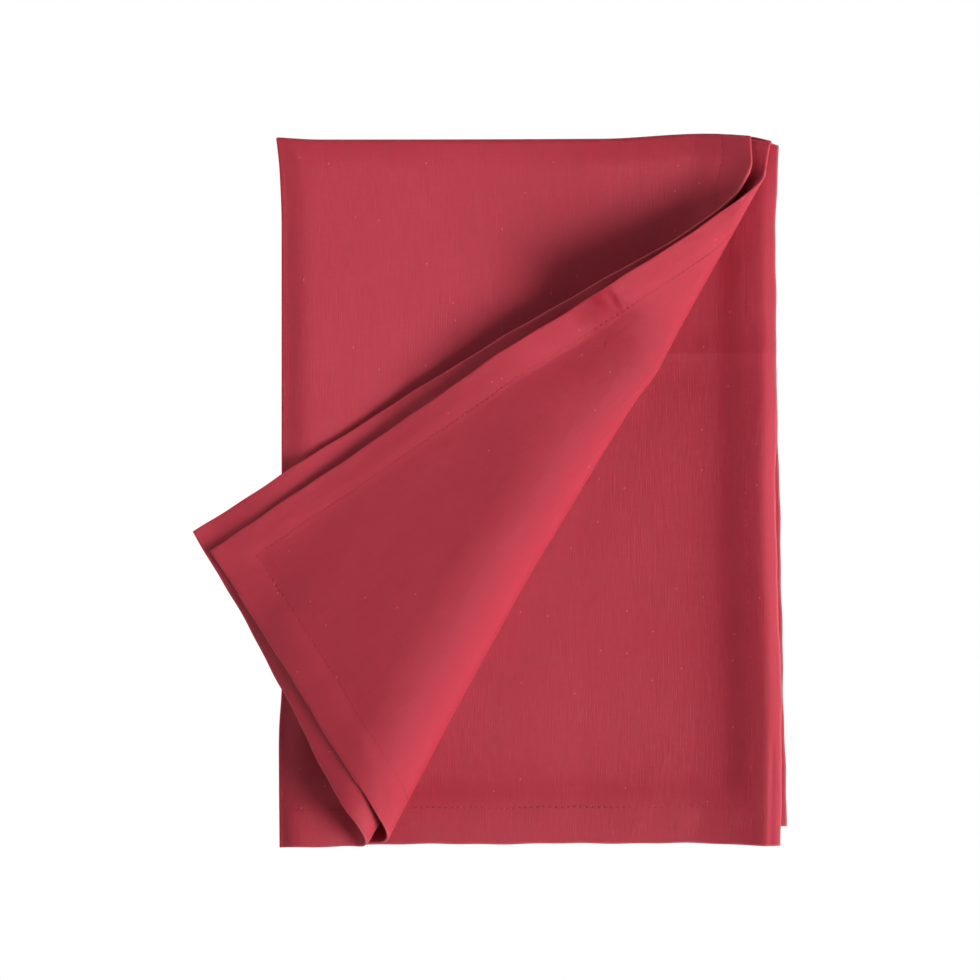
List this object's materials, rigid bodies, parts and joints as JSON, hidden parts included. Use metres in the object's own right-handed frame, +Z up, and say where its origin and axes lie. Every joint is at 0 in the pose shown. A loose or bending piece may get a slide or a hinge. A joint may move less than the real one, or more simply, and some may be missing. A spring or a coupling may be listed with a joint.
{
  "type": "tea towel",
  "caption": "Plain red cotton tea towel folded in quarters, lying flat, with the lower right corner of its upper layers turned back over a soft roll.",
  "frame": {"origin": "centre of the folded towel's outline, on the surface it lies on", "axes": "+Z up; +Y along the folded length, towards the second fold; +X across it, towards the free long hems"},
  "size_m": [0.2968, 0.357, 0.0384],
  "materials": {
    "cotton": "dull plain weave"
  },
  "bodies": {
    "root": {"towel": "cotton"}
  },
  "joints": []
}
